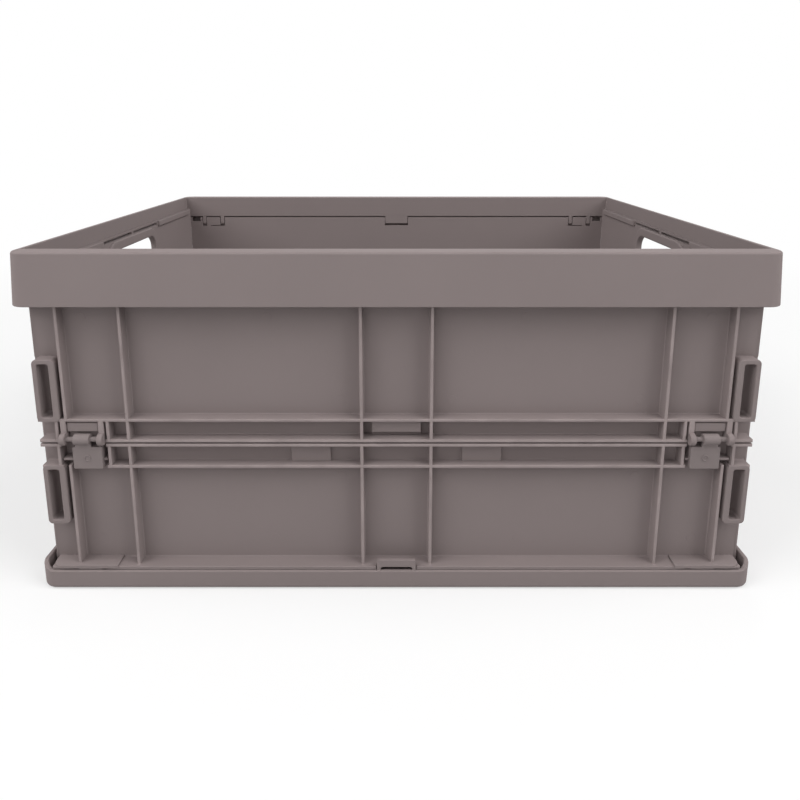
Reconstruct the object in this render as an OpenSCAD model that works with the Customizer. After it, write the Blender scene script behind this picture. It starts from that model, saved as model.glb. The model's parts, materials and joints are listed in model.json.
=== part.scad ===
// Collapsible storage crate: a tray base, a rim, two long walls that fold
// inwards at a middle hinge, and two end walls with hand holes that fold flat on the floor.
// Origin at the middle of the underside, +Z up, the front wall on the -Y side, in millimetres.

/* [Overall] */
// Length over the rim
crate_len = 480; // [420:1:600]
// Depth over the rim
crate_dep = 350; // [300:1:400]
// Height from the underside to the top of the rim
crate_h = 230; // [215:1:300]
// Colour of the moulded plastic
plastic = "#7c716f"; // ["#7c716f", "#5b6066", "#2f4f6f"]

/* [Rim] */
// Height of the rim's outer skirt
rim_h = 34; // [30:0.5:40]
// Thickness of the skirt
rim_skin = 2.4; // [1.8:0.1:3]
// Thickness of the rim's top
rim_top_t = 3.5; // [2.5:0.1:5]
// Thickness of the rim's inner lip
rim_lip_t = 1.6; // [1.2:0.1:2]
// Depth of the inner lip below the top
rim_lip_h = 21; // [18:0.1:24]
// Width of the rim's top along the ends
rim_end_w = 5.3; // [4.8:0.1:6]
// How far rim and base stand out past the ribs
rim_over = 5; // [4.6:0.1:7]
// Corner radius of the rim in plan
rim_r = 11; // [9:0.5:14]
// Rounding of the rim's top edge
rim_edge_r = 1.5; // [0.8:0.1:2]
// Width of the tab at the middle of each long lip
tab_w = 25; // [18:1:34]
// Height of the cut in the end skirts outside the hand holes
grip_cut_h = 8; // [7.5:0.5:10]
// How much longer than the hand hole that cut is
grip_cut_over = 8; // [4:1:16]

/* [Base] */
// How much smaller than the rim the base is on each side
base_inset = 1; // [0.5:0.1:2]
// Thickness of the floor
floor_t = 2.2; // [2:0.1:3]
// Thickness of the base's upstanding lip
base_lip_t = 3; // [2.4:0.1:3.4]
// Height of the lip along the front and back
lip_h = 13.5; // [11:0.1:15]
// Height of the lip at the ends
end_lip_h = 17.5; // [15:0.5:24]
// Rounding of the base's lower edge
base_edge_r = 3; // [2:0.1:3.4]
// Width of the catch at the middle of the front and back lips
catch_w = 26; // [18:1:36]
// Height of that catch above the lip
catch_h = 6; // [4:0.5:8]

/* [Long walls] */
// Depth of a long wall from its inner face to its ribs' edges
wall_depth = 10; // [8:0.1:11]
// Thickness of the walls' skin
skin_t = 2; // [1.8:0.1:3]
// Thickness of a rib
rib_t = 2; // [1.6:0.1:3]
// Distance of the outer upright ribs from the wall's end
rib1_in = 17.6; // [17.1:0.1:19.6]
// Distance of the inner upright ribs from the wall's end
rib2_in = 57.1; // [50:0.1:80]
// Distance of the middle pair of ribs from the middle
rib3_x = 22.5; // [19.5:0.5:30]
// How far the upright ribs run up behind the rim's skirt
rib_lap = 3; // [1:0.5:4]
// Gap between the upper and the lower panel
split_gap = 1; // [0.8:0.1:1.6]
// How far that gap lies below the middle hinge's axis
split_drop = 3.2; // [0:0.1:3.4]
// Height of the ribbed band over the middle hinge's axis
band_over = 13.6; // [12:0.1:22]
// Depth of the ribbed band under that axis
band_under = 20.7; // [15.5:0.1:24]
// Width of the pocket frames at the walls' ends
pocket_w = 14.5; // [12:0.5:15]
// Height of the pocket frames
pocket_h = 40; // [30:1:50]
// Width of a pocket frame's border
pocket_rim = 3; // [2:0.1:3.6]
// How far a pocket frame stands out past the ribs
pocket_proud = 0.5; // [0.2:0.1:1]
// How much wider that border is on its inner side
pocket_inner = 1; // [0:0.1:2]
// Width of the tongue at the middle of the upper band
tongue_w = 32; // [24:1:36]
// Height of the tongue's lower edge above the middle hinge
tongue_rise = 5.5; // [4:0.5:8]
// Place of the flat blocks in the lower band, from the middle
block_x = 54; // [45:1:90]
// Width of those blocks
block_w = 26; // [16:1:34]
// Height of those blocks
block_h = 15; // [6:0.5:16]
// How far the tongue, blocks and hinge plates lie behind the ribs' edges
plate_inset = 1; // [0.5:0.1:2]
// How far the ledge at the foot stops short of the wall's end
ledge_end = 2; // [1:0.5:5]
// How far the ledge's wider ends stand out past the ribs
ledge_out = 1.5; // [0.5:0.1:2]

/* [Hinges] */
// Radius of the hinge pins at the base and the rim
pin_r = 1.25; // [1:0.05:1.5]
// Radius of the hinge pins at mid-height
mid_pin_r = 1.6; // [1.3:0.05:1.9]
// Running clearance round each pin
pin_play = 0.06; // [0.03:0.01:0.1]
// Radius of the barrels at the base and the rim
barrel_r = 2.6; // [2.4:0.1:3]
// Distance of the base and rim hinges from the wall's end
side_hinge_in = 25.1; // [24.1:0.1:80]
// Length of a barrel at the base and the rim
barrel_len = 15; // [10:0.5:18]
// Thickness of the lugs that carry the pins
lug_t = 4; // [3:0.1:5]
// Distance of the middle hinges from the wall's end
mid_hinge_in = 27.6; // [27.1:0.1:34]
// Width of a middle hinge over its ears
mid_hinge_w = 28; // [25:0.5:29]
// Thickness of an ear
ear_t = 3.6; // [3:0.1:4.4]
// Radius of an ear round its pin
ear_r = 4; // [3.4:0.1:4.2]
// How far the middle pins lie outside the ribs' edges
mid_proud = 0.5; // [0.4:0.05:0.8]
// Width of a clip's knuckle
knuckle_w = 10.4; // [8:0.2:14]
// Radius of a clip's knuckle
knuckle_r = 3.5; // [3:0.1:3.8]
// Width of a clip's plate
clip_w = 19; // [16:0.5:20]
// Thickness of a clip's plate
clip_t = 2; // [1.6:0.1:2.6]
// How far a clip's plate stands out past its pin's axis
clip_proud = 0.5; // [0.2:0.1:0.8]
// How far a clip's plate lies to the inner side of its knuckle
clip_shift = 2.4; // [1:0.1:3]
// Room between the ears and a clip's plate
clip_room = 1.3; // [0.6:0.1:2]
// Radius of the stud that holds a clip
stud_r = 2.2; // [1.8:0.1:3]
// Wall left between the stud's bore and the wall's skin
stud_floor = 1; // [0.5:0.1:2]
// Room under the upper hinge plate
plate_room_low = 0.5; // [0.3:0.1:1]
// Room over the upper hinge plate
plate_room_high = 1; // [0.6:0.1:2.4]

/* [End walls] */
// Thickness of an end wall
end_t = 3.4; // [3:0.1:4.5]
// Depth of the sunk fields on an end wall's outside
end_field = 1.4; // [1:0.1:1.6]
// Top of the end walls below the top of the rim
end_drop = 12.5; // [10:0.5:24]
// Gap between an end wall's edge and each long wall
end_side_gap = 0.4; // [0.3:0.1:2]
// Gap between an end wall and the rim that passes round it
end_rim_gap = 0.5; // [0.4:0.1:1]
// Gap between the end walls and the ends of the long walls
wall_end_gap = 0.4; // [0.3:0.1:1.5]
// Length of the hand hole
hole_w = 96; // [80:1:100]
// Height of the hand hole
hole_h = 34; // [28:1:44]
// Top of the hand hole below the top of its end wall
hole_drop = 14.5; // [14:0.5:22]
// Width of the border round the hand hole
grip_w = 8; // [6:0.5:9]
// How far that border stands out on the inside
grip_proud = 2.6; // [2.4:0.1:4]
// Radius of the end walls' hinge pins
end_pin_r = 1.25; // [1:0.05:1.4]
// Radius of the end walls' barrels
end_barrel_r = 2.2; // [2.1:0.1:2.4]
// Distance of the end walls' hinges from the walls' edges
end_hinge_in = 57; // [40:1:80]
// Length of an end wall's barrel
end_barrel_len = 15; // [10:0.5:18]
// Corner radius of the hand hole
hole_r = 12; // [8:0.5:14]
// How far the bead along an end wall's top stands out
bead_proud = 2; // [1:0.1:2.4]
// Height of that bead
bead_h = 5; // [3:0.5:7]
// Gap between the bead and the hand hole's border
bead_start = 4; // [2:0.5:8]
// How far the bead stops short of the end wall's edge
bead_end = 8; // [4:0.5:14]
// Border round the sunk fields
end_border = 9; // [6:0.5:12]
// Number of sunk fields
field_count = 3; // [2:1:4]
// Room between the sunk fields and the hinge border below them
field_low = 4; // [2:0.5:8]
// Room between the sunk fields and the hand hole's border
field_high = 2; // [1:0.5:6]
// Thickness of the slots in an end wall's top edge
slot_t = 1.8; // [1.2:0.1:2]
// Depth of those slots
slot_deep = 5; // [3:0.5:7]
// Length of each slot
slot_len = 56; // [40:1:60]
// Half of the bridge between the two slots
slot_from = 2; // [1:0.5:4]
// Wall left between a slot and the end wall's inner face
slot_in = 0.9; // [0.6:0.1:1]

/* [Clearances] */
// Gap between a barrel and the wall's inner face
barrel_gap = 0.1; // [0:0.05:0.3]
// Gap between a lug and the notch round it
notch_gap = 0.5; // [0.3:0.1:1]
// Room between a barrel and the top of its lugs' notches
notch_room = 1.2; // [0.8:0.1:2]
// The same room at the end walls' hinges
end_notch_room = 1; // [0.6:0.1:2]
// Gap between the ears, knuckle and plates of a middle hinge
hinge_gap = 0.4; // [0.3:0.05:0.5]
// Gap swept by a wall's edge as it turns
sweep_gap = 0.5; // [0.3:0.1:1]
// Gap between a folded end wall and the long wall over it
stack_gap = 0.3; // [0.2:0.1:1]
// Gap between a folded hand hole's border and the floor
grip_gap = 0.5; // [0.3:0.1:1]
// Gap between the base's lip and the ledge over it
ledge_gap = 0.6; // [0.4:0.1:1]
// How far the end walls' hinge axis lies inside their inner face
end_axis_in = 0.6; // [0.4:0.1:0.8]
// How far an end wall's foot lies above its hinge axis
end_foot = 0.3; // [0.1:0.1:0.6]
// How far a long wall reaches below its foot hinge's axis
foot_drop = 3; // [2.7:0.1:3.4]
// How far a long wall reaches above its rim hinge's axis
top_rise = 6; // [4:0.5:6.5]
// How far the rim's tab reaches below the rim hinge's axis
tab_drop = 1; // [0.5:0.5:4]
// Room under the rim's tab
tab_room = 2.2; // [2:0.1:4]
// How far the catch lies behind the base lip's face
catch_inset = 0.6; // [0.2:0.1:1]
// Width of the catch beside its slot
catch_post = 4; // [2:0.5:6]

/* [Hidden] */
$fn = 48;
// Half sizes of the crate in plan
hx = crate_len / 2;
hy = crate_dep / 2;
// Planes of a long wall, counted outwards from the middle
rib_y = hy - rim_over;
in_y = rib_y - wall_depth;
skin_y = in_y + skin_t;
axis_inset = barrel_r + barrel_gap;
axis_y = in_y + axis_inset;
mid_y = rib_y + mid_proud;
// Planes of an end wall
end_out = hx - rim_end_w - end_rim_gap;
end_in = end_out - end_t;
end_hy = in_y - end_side_gap;
wall_hx = end_in - wall_end_gap;
// The end walls lie on the floor when folded, and the long walls lie over them
end_axis_x = end_in - end_axis_in;
end_axis_z = floor_t + grip_proud + grip_gap - end_axis_in;
base_axis_z = end_axis_z + end_axis_in + end_t + stack_gap + axis_inset;
foot_sweep = norm([axis_inset, foot_drop]);
rail_z = base_axis_z - foot_sweep - sweep_gap;
// Heights of the long walls
top_sweep = norm([axis_inset, top_rise]);
lip_z = crate_h - rim_lip_h;
rim_axis_z = lip_z - top_sweep - sweep_gap;
mid_z = (base_axis_z + rim_axis_z) / 2;
foot_z = base_axis_z - foot_drop;
upper_top = rim_axis_z + top_rise;
skirt_z = crate_h - rim_h;
rib_top = skirt_z + rib_lap;
// Heights that belong to the ribbed band
upper_z = mid_z - split_drop + split_gap / 2;
lower_z = mid_z - split_drop - split_gap / 2;
band_up = mid_z + band_over;
band_low = mid_z - band_under;
ledge_z = [lip_h + ledge_gap, lip_h + ledge_gap + rib_t];
ledge_hx = wall_hx - ledge_end;
// Upright ribs and hinges along a long wall
rib1_x = wall_hx - rib1_in;
rib2_x = wall_hx - rib2_in;
side_hinge_x = wall_hx - side_hinge_in;
mid_hinge_x = wall_hx - mid_hinge_in;
// Reach of the notches that clear the lugs, and half lengths of the pins
notch_reach = barrel_r + notch_room;
end_notch_reach = end_barrel_r + end_notch_room;
side_pin_half = barrel_len / 2 + notch_gap + lug_t;
end_pin_half = end_barrel_len / 2 + notch_gap + lug_t;
// Middle hinge
window_low = mid_hinge_x - mid_hinge_w / 2 - hinge_gap;
window_high = mid_hinge_x + mid_hinge_w / 2 + hinge_gap;
web_x = [window_low - rib_t, window_high + rib_t];
plate_out = rib_y - plate_inset;
clip_seat = mid_y - clip_t + clip_proud;
clip_x = mid_hinge_x - clip_shift;
clip_top = ear_r + clip_room;
// End wall
end_top = crate_h - end_drop;
hole_top = end_top - hole_drop;
hole_mid = hole_top - hole_h / 2;
end_hinge_y = end_hy - end_hinge_in;
// How far joined shapes run into each other, and how far a cut runs past a face
overlap = 0.2;
cut = 1;

// A box given by its low and high bound on each axis
module block(x, y, z) {
    translate([x[0], y[0], z[0]])
        cube([x[1] - x[0], y[1] - y[0], z[1] - z[0]]);
}

// A rod along X
module rod_x(x, y, z, r) {
    translate([x[0], y, z]) rotate([0, 90, 0]) cylinder(r = r, h = x[1] - x[0]);
}

// A rod along Y
module rod_y(y, x, z, r) {
    translate([x, y[0], z]) rotate([-90, 0, 0]) cylinder(r = r, h = y[1] - y[0]);
}

// A rectangle with round corners about the origin
module round_rect(w, h, r) {
    square([w - 2 * r, h], center = true);
    square([w, h - 2 * r], center = true);
    for (x = [-1, 1], y = [-1, 1])
        translate([x * (w / 2 - r), y * (h / 2 - r)]) circle(r);
}

// A plate in the XZ plane with round corners, from y[0] to y[1]
module plate_y(x, y, z, r) {
    translate([(x[0] + x[1]) / 2, y[1], (z[0] + z[1]) / 2])
        rotate([90, 0, 0])
            linear_extrude(y[1] - y[0]) round_rect(x[1] - x[0], z[1] - z[0], r);
}

// A plate in the YZ plane with round corners, from x[0] to x[1]
module plate_x(x, y, z, r) {
    translate([x[0], (y[0] + y[1]) / 2, (z[0] + z[1]) / 2])
        rotate([90, 0, 90])
            linear_extrude(x[1] - x[0]) round_rect(y[1] - y[0], z[1] - z[0], r);
}

// Carries a profile round the ends and corners of a rectangle, and round its long sides too.
// The profile's x is counted outwards from the outer face, so it is negative, and its y is up.
module sweep_ring(len, dep, r, long_sides = true) {
    for (turn = [0, 180]) rotate(turn) {
        rotate([90, 0, 0]) linear_extrude(dep - 2 * r, center = true)
            translate([len / 2, 0]) children();
        if (long_sides)
            rotate([90, 0, 90]) linear_extrude(len - 2 * r, center = true)
                translate([dep / 2, 0]) children();
        for (side = [0, 1])
            translate([len / 2 - r, (dep / 2 - r) * (1 - 2 * side), 0])
                rotate(-90 * side) rotate_extrude(angle = 90) translate([r, 0]) children();
    }
}

// Repeats a piece of the wall on its left and right halves
module both_halves() {
    children();
    mirror([1, 0, 0]) children();
}

// Turns a piece of the back wall into the front one, or of the right end into the left one
module turned() {
    rotate([0, 0, 180]) children();
}

// Base
module base_profile() {
    translate([-base_lip_t, base_edge_r]) square([base_lip_t, lip_h - base_edge_r]);
    intersection() {
        translate([-base_edge_r, base_edge_r]) circle(base_edge_r);
        translate([-base_edge_r, 0]) square(base_edge_r);
    }
}

module base_end_profile() {
    translate([-base_lip_t, base_edge_r]) square([base_lip_t, end_lip_h - base_edge_r]);
}

// A lug on the base that carries the pin of a long wall
module foot_lug(x) {
    block(x, [axis_y - barrel_r, axis_y + barrel_r], [rail_z - overlap, base_axis_z]);
    rod_x(x, axis_y, base_axis_z, barrel_r);
}

// A lug on the base that carries the pin of an end wall
module end_lug(y) {
    block([end_axis_x - end_barrel_r, end_axis_x], y, [floor_t - overlap, end_axis_z]);
    block([end_axis_x, hx - base_inset - base_lip_t + overlap], y,
        [floor_t - overlap, end_axis_z + end_barrel_r]);
    rod_y(y, end_axis_x, end_axis_z, end_barrel_r);
}

// Positions of the two lugs beside a barrel of length len at a
function lug_spans(a, len) = [
    [a - len / 2 - notch_gap - lug_t, a - len / 2 - notch_gap],
    [a + len / 2 + notch_gap, a + len / 2 + notch_gap + lug_t]
];

module base_tray() {
    base_len = crate_len - 2 * base_inset;
    base_dep = crate_dep - 2 * base_inset;
    base_r = rim_r - base_inset;
    base_in_y = hy - base_inset - base_lip_t;
    color(plastic) difference() {
        union() {
            linear_extrude(floor_t)
                round_rect(base_len - 2 * base_edge_r, base_dep - 2 * base_edge_r, base_r - base_edge_r);
            sweep_ring(base_len, base_dep, base_r) base_profile();
            sweep_ring(base_len, base_dep, base_r, long_sides = false) base_end_profile();
            for (wall = [0, 180]) rotate(wall) {
                // Rail under the long wall, with its lugs
                block([-end_in, end_in], [in_y - end_side_gap / 2, base_in_y + overlap],
                    [floor_t - overlap, rail_z]);
                both_halves()
                    for (span = lug_spans(side_hinge_x, barrel_len)) foot_lug(span);
                // Catch at the middle of the lip
                block([-catch_w / 2, catch_w / 2], [base_in_y, hy - base_inset - catch_inset],
                    [lip_h - overlap, lip_h + catch_h]);
                // Stop and lugs for the end wall
                block([end_out + end_rim_gap, hx - base_inset - base_lip_t + overlap],
                    [-end_hy + rim_r, end_hy - rim_r], [floor_t - overlap, end_lip_h]);
                for (side = [-1, 1], span = lug_spans(side * end_hinge_y, end_barrel_len)) end_lug(span);
            }
        }
        for (wall = [0, 180]) rotate(wall) {
            side_bore(base_axis_z);
            for (side = [-1, 1])
                end_bore(side);
            // Slot through the catch
            block([-catch_w / 2 + catch_post, catch_w / 2 - catch_post], [base_in_y - cut, hy],
                [lip_h, lip_h + catch_h / 2]);
        }
    }
}

// Rim
module rim_profile() {
    translate([-rim_skin, skirt_z]) square([rim_skin, rim_h - rim_edge_r]);
    translate([-rim_end_w, crate_h - rim_top_t])
        square([rim_end_w - rim_edge_r, rim_top_t]);
    translate([-rim_edge_r, crate_h - rim_edge_r]) circle(rim_edge_r);
    translate([-rim_skin, crate_h - rim_top_t])
        square([rim_skin, rim_top_t - rim_edge_r]);
    translate([-rim_end_w, lip_z]) square([rim_lip_t, rim_lip_h]);
}

// A lug under the rim that carries the pin of a long wall
module rim_lug(x) {
    block(x, [axis_y - barrel_r, axis_y + barrel_r], [rim_axis_z, crate_h - rim_top_t + overlap]);
    rod_x(x, axis_y, rim_axis_z, barrel_r);
}

module top_rim() {
    color(plastic) difference() {
        union() {
            sweep_ring(crate_len, crate_dep, rim_r) rim_profile();
            for (wall = [0, 180]) rotate(wall) {
                // Wide top and inner lip along the long wall
                block([-end_out - end_rim_gap, end_out + end_rim_gap], [in_y, hy - rim_end_w + overlap],
                    [crate_h - rim_top_t, crate_h]);
                block([-end_out - end_rim_gap, end_out + end_rim_gap], [in_y, in_y + rim_lip_t],
                    [lip_z, crate_h]);
                block([-tab_w / 2, tab_w / 2], [in_y, in_y + rim_lip_t],
                    [rim_axis_z - tab_drop, lip_z + overlap]);
                both_halves()
                    for (span = lug_spans(side_hinge_x, barrel_len)) rim_lug(span);
            }
        }
        for (wall = [0, 180]) rotate(wall) {
            side_bore(rim_axis_z);
            // Cut in the end skirt, for the hand
            block([hx - rim_skin - cut, hx + cut], [-(hole_w + grip_cut_over) / 2, (hole_w + grip_cut_over) / 2],
                [skirt_z - cut, skirt_z + grip_cut_h]);
        }
    }
}

// Long walls, drawn as the back wall

// Upright ribs over a height, from the skin to the ribs' plane
module uprights(xs, z) {
    both_halves() for (x = xs)
        block([x - rib_t / 2, x + rib_t / 2], [skin_y - overlap, rib_y], z);
}

// A level rib over the whole length
module level_rib(z) {
    block([-wall_hx, wall_hx], [skin_y - overlap, rib_y], [z, z + rib_t]);
}

// A frame round a pocket at the end of the wall
module pocket(z) {
    plate_y([wall_hx - pocket_w, wall_hx], [skin_y - overlap, rib_y + pocket_proud], z, pocket_rim);
}

module pocket_window(z) {
    plate_y([wall_hx - pocket_w + pocket_rim + pocket_inner, wall_hx - pocket_rim], [in_y - cut, hy],
        [z[0] + pocket_rim, z[1] - pocket_rim], pocket_rim / 2);
}

// Clears the lugs of the base or the rim, from low to high
module lug_notches(z) {
    both_halves() for (span = lug_spans(side_hinge_x, barrel_len))
        block([span[0] - notch_gap, span[1] + notch_gap], [in_y - cut, hy], z);
}

// A barrel of the long wall at the base or the rim
module side_barrel(z) {
    both_halves()
        rod_x([side_hinge_x - barrel_len / 2, side_hinge_x + barrel_len / 2], axis_y, z, barrel_r);
}

// The bore for the pins of a long wall, through its barrels and lugs
module side_bore(z) {
    reach = side_pin_half + cut;
    both_halves()
        rod_x([side_hinge_x - reach, side_hinge_x + reach], axis_y, z, pin_r + pin_play);
}

// The bore for an end wall's pin, at its back or its front half
module end_bore(side) {
    reach = end_pin_half + cut;
    rod_y([side * end_hinge_y - reach, side * end_hinge_y + reach], end_axis_x, end_axis_z,
        end_pin_r + pin_play);
}

// Inner and outer ear of a middle hinge, as spans along X
function ear_spans() = [
    [mid_hinge_x - mid_hinge_w / 2, mid_hinge_x - mid_hinge_w / 2 + ear_t],
    [mid_hinge_x + mid_hinge_w / 2 - ear_t, mid_hinge_x + mid_hinge_w / 2]
];

module upper_wall() {
    color(plastic) difference() {
        union() {
            difference() {
                union() {
                    block([-wall_hx, wall_hx], [in_y, skin_y], [upper_z, upper_top]);
                    level_rib(upper_z);
                }
                both_halves()
                    block([window_low, window_high], [skin_y, hy], [upper_z - cut, upper_z + rib_t + cut]);
            }
            level_rib(band_up - rib_t);
            uprights([rib1_x, rib2_x, rib3_x], [band_up - overlap, rib_top]);
            uprights([rib2_x, rib3_x, web_x[0], web_x[1]], [upper_z, band_up]);
            both_halves() {
                for (span = ear_spans()) {
                    block(span, [skin_y - overlap, rib_y], [upper_z, band_up]);
                    rod_x(span, mid_y, mid_z, ear_r);
                }
                // Plate between the ears
                block([mid_hinge_x - mid_hinge_w / 2 + ear_t + hinge_gap,
                    mid_hinge_x + mid_hinge_w / 2 - ear_t - hinge_gap],
                    [skin_y - overlap, plate_out],
                    [mid_z + ear_r + plate_room_low, band_up - rib_t - plate_room_high]);
                pocket([band_up - rib_t, band_up + pocket_h]);
            }
            // Tongue at the middle of the band
            block([-tongue_w / 2, tongue_w / 2], [skin_y - overlap, plate_out],
                [mid_z + tongue_rise, band_up]);
            side_barrel(rim_axis_z);
        }
        side_bore(rim_axis_z);
        lug_notches([rim_axis_z - notch_reach, crate_h]);
        block([-tab_w / 2 - notch_gap, tab_w / 2 + notch_gap], [in_y - cut, hy],
            [rim_axis_z - tab_drop - tab_room, crate_h]);
        both_halves() {
            pocket_window([band_up - rib_t, band_up + pocket_h]);
            rod_x([mid_hinge_x - mid_hinge_w, mid_hinge_x + mid_hinge_w], mid_y, mid_z,
                mid_pin_r + pin_play);
            // Slots beside the tongue
            block([tongue_w / 2, rib3_x - rib_t / 2], [in_y - cut, hy],
                [mid_z + tongue_rise, band_up - rib_t]);
            // Room for the clip's knuckle
            rod_x([mid_hinge_x - knuckle_w / 2 - hinge_gap, mid_hinge_x + knuckle_w / 2 + hinge_gap],
                mid_y, mid_z, knuckle_r + hinge_gap);
        }
    }
}

module lower_wall() {
    color(plastic) difference() {
        union() {
            block([-wall_hx, wall_hx], [in_y, skin_y], [foot_z, lower_z]);
            difference() {
                union() {
                    level_rib(lower_z - rib_t);
                    level_rib(band_low);
                }
                both_halves()
                    block([window_low, window_high], [skin_y, hy], [band_low - cut, mid_z]);
            }
            uprights([rib1_x, rib2_x, rib3_x], [ledge_z[1] - overlap, band_low + overlap]);
            uprights([rib2_x, rib3_x, web_x[0], web_x[1]], [band_low, lower_z]);
            both_halves() {
                // Seat of the clip
                block([clip_x - clip_w / 2, clip_x + clip_w / 2], [skin_y - overlap, clip_seat],
                    [band_low, mid_z - clip_top]);
                // Flat blocks in the band
                block([block_x - block_w / 2, block_x + block_w / 2], [skin_y - overlap, plate_out],
                    [lower_z - block_h, lower_z]);
                pocket([band_low - pocket_h, band_low + rib_t]);
                // Wider ends of the ledge at the foot
                block([side_hinge_x - barrel_len - lug_t, ledge_hx],
                    [skin_y - overlap, rib_y + ledge_out], ledge_z);
            }
            block([-ledge_hx, ledge_hx], [skin_y - overlap, rib_y], ledge_z);
            side_barrel(base_axis_z);
        }
        side_bore(base_axis_z);
        lug_notches([0, base_axis_z + notch_reach]);
        both_halves() {
            pocket_window([band_low - pocket_h, band_low + rib_t]);
            // Room for the ears
            for (span = ear_spans())
                rod_x([span[0] - hinge_gap, span[1] + hinge_gap], mid_y, mid_z, ear_r + hinge_gap);
            // Bore for the clip's stud
            rod_stud(clip_seat + cut, stud_r + pin_play);
        }
    }
}

// The stud that holds a clip in its seat, from the skin out to a depth
module rod_stud(out, r) {
    rod_y([skin_y + stud_floor, out], clip_x, (band_low + mid_z - clip_top) / 2, r);
}

// Clip that hooks over a middle pin, drawn at the back wall's right half
module hinge_clip() {
    color(plastic) difference() {
        union() {
            block([clip_x - clip_w / 2, clip_x + clip_w / 2], [clip_seat, clip_seat + clip_t],
                [band_low, mid_z - clip_top]);
            block([mid_hinge_x - knuckle_w / 2, mid_hinge_x + knuckle_w / 2],
                [clip_seat, clip_seat + clip_t], [mid_z - clip_top - overlap, mid_z]);
            rod_x([mid_hinge_x - knuckle_w / 2, mid_hinge_x + knuckle_w / 2], mid_y, mid_z, knuckle_r);
            rod_stud(clip_seat + clip_t / 2, stud_r);
        }
        rod_x([mid_hinge_x - mid_hinge_w, mid_hinge_x + mid_hinge_w], mid_y, mid_z, mid_pin_r + pin_play);
    }
}

// Pins, drawn at the back wall's right half or the right end's back half
module middle_pin() {
    color(plastic)
        rod_x([mid_hinge_x - mid_hinge_w / 2, mid_hinge_x + mid_hinge_w / 2], mid_y, mid_z, mid_pin_r);
}

module side_pin(z) {
    color(plastic)
        rod_x([side_hinge_x - side_pin_half, side_hinge_x + side_pin_half], axis_y, z, pin_r);
}

module end_pin() {
    color(plastic)
        rod_y([end_hinge_y - end_pin_half, end_hinge_y + end_pin_half], end_axis_x, end_axis_z, end_pin_r);
}

// End wall, drawn as the right one
module end_wall() {
    grip_out = [hole_w / 2 + grip_w, hole_h / 2 + grip_w];
    field_z = [end_axis_z + end_border + field_low, hole_mid - grip_out[1] - field_high];
    field_w = (2 * end_hy - (field_count + 1) * end_border) / field_count;
    color(plastic) difference() {
        union() {
            block([end_in, end_out], [-end_hy, end_hy], [end_axis_z + end_foot, end_top]);
            for (side = [-1, 1])
                rod_y([side * end_hinge_y - end_barrel_len / 2, side * end_hinge_y + end_barrel_len / 2],
                    end_axis_x, end_axis_z, end_barrel_r);
            // Border round the hand hole, and the bead along the top beside it
            plate_x([end_in - grip_proud, end_in + overlap], [-grip_out[0], grip_out[0]],
                [hole_mid - grip_out[1], hole_mid + grip_out[1]], hole_r + grip_w);
            for (side = [-1, 1]) {
                from = grip_out[0] + bead_start;
                to = end_hy - bead_end;
                block([end_in - bead_proud, end_in + overlap],
                    side > 0 ? [from, to] : [-to, -from], [end_top - bead_h, end_top]);
            }
        }
        plate_x([end_in - grip_proud - cut, end_out + cut], [-hole_w / 2, hole_w / 2],
            [hole_mid - hole_h / 2, hole_mid + hole_h / 2], hole_r);
        // Sunk fields on the outside
        for (field = [0 : field_count - 1]) {
            from = -end_hy + end_border + field * (field_w + end_border);
            block([end_out - end_field, end_out + cut], [from, from + field_w], field_z);
        }
        for (side = [-1, 1]) {
            // Slots in the top edge over the hand hole
            slot_to = slot_from + slot_len;
            block([end_in + slot_in, end_in + slot_in + slot_t],
                side > 0 ? [slot_from, slot_to] : [-slot_to, -slot_from],
                [end_top - slot_deep, end_top + cut]);
            // Room for the lugs, and the bores
            for (span = lug_spans(side * end_hinge_y, end_barrel_len))
                block([end_in - cut, end_out + cut], [span[0] - notch_gap, span[1] + notch_gap],
                    [0, end_axis_z + end_notch_reach]);
            end_bore(side);
        }
    }
}

base_tray();
top_rim();
turned() lower_wall();  // front_lower_panel
turned() upper_wall();  // front_upper_panel
lower_wall();  // back_lower_panel
upper_wall();  // back_upper_panel
turned() end_wall();  // left_end_wall
end_wall();  // right_end_wall
turned() hinge_clip();  // front_left_hinge_clip
turned() mirror([1, 0, 0]) hinge_clip();  // front_right_hinge_clip
mirror([1, 0, 0]) hinge_clip();  // back_left_hinge_clip
hinge_clip();  // back_right_hinge_clip
turned() middle_pin();  // front_left_middle_pin
turned() mirror([1, 0, 0]) middle_pin();  // front_right_middle_pin
mirror([1, 0, 0]) middle_pin();  // back_left_middle_pin
middle_pin();  // back_right_middle_pin
turned() side_pin(base_axis_z);  // front_left_foot_pin
turned() mirror([1, 0, 0]) side_pin(base_axis_z);  // front_right_foot_pin
mirror([1, 0, 0]) side_pin(base_axis_z);  // back_left_foot_pin
side_pin(base_axis_z);  // back_right_foot_pin
turned() side_pin(rim_axis_z);  // front_left_rim_pin
turned() mirror([1, 0, 0]) side_pin(rim_axis_z);  // front_right_rim_pin
mirror([1, 0, 0]) side_pin(rim_axis_z);  // back_left_rim_pin
side_pin(rim_axis_z);  // back_right_rim_pin
turned() end_pin();  // left_front_end_pin
mirror([1, 0, 0]) end_pin();  // left_back_end_pin
mirror([0, 1, 0]) end_pin();  // right_front_end_pin
end_pin();  // right_back_end_pin
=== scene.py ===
"""The looks of a collapsible storage crate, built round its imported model.

Each moulded part is drawn again with rounded edges, root fillets and its small hinge parts, where the
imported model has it, and gets a matte plastic finish. Sizes are in millimetres and meshes in metres.
A wall is drawn as the back wall, with x along it, y outwards and z up, and is then turned into place.
"""

import json
import logging
import math
from dataclasses import dataclass, field
from enum import Enum

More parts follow.
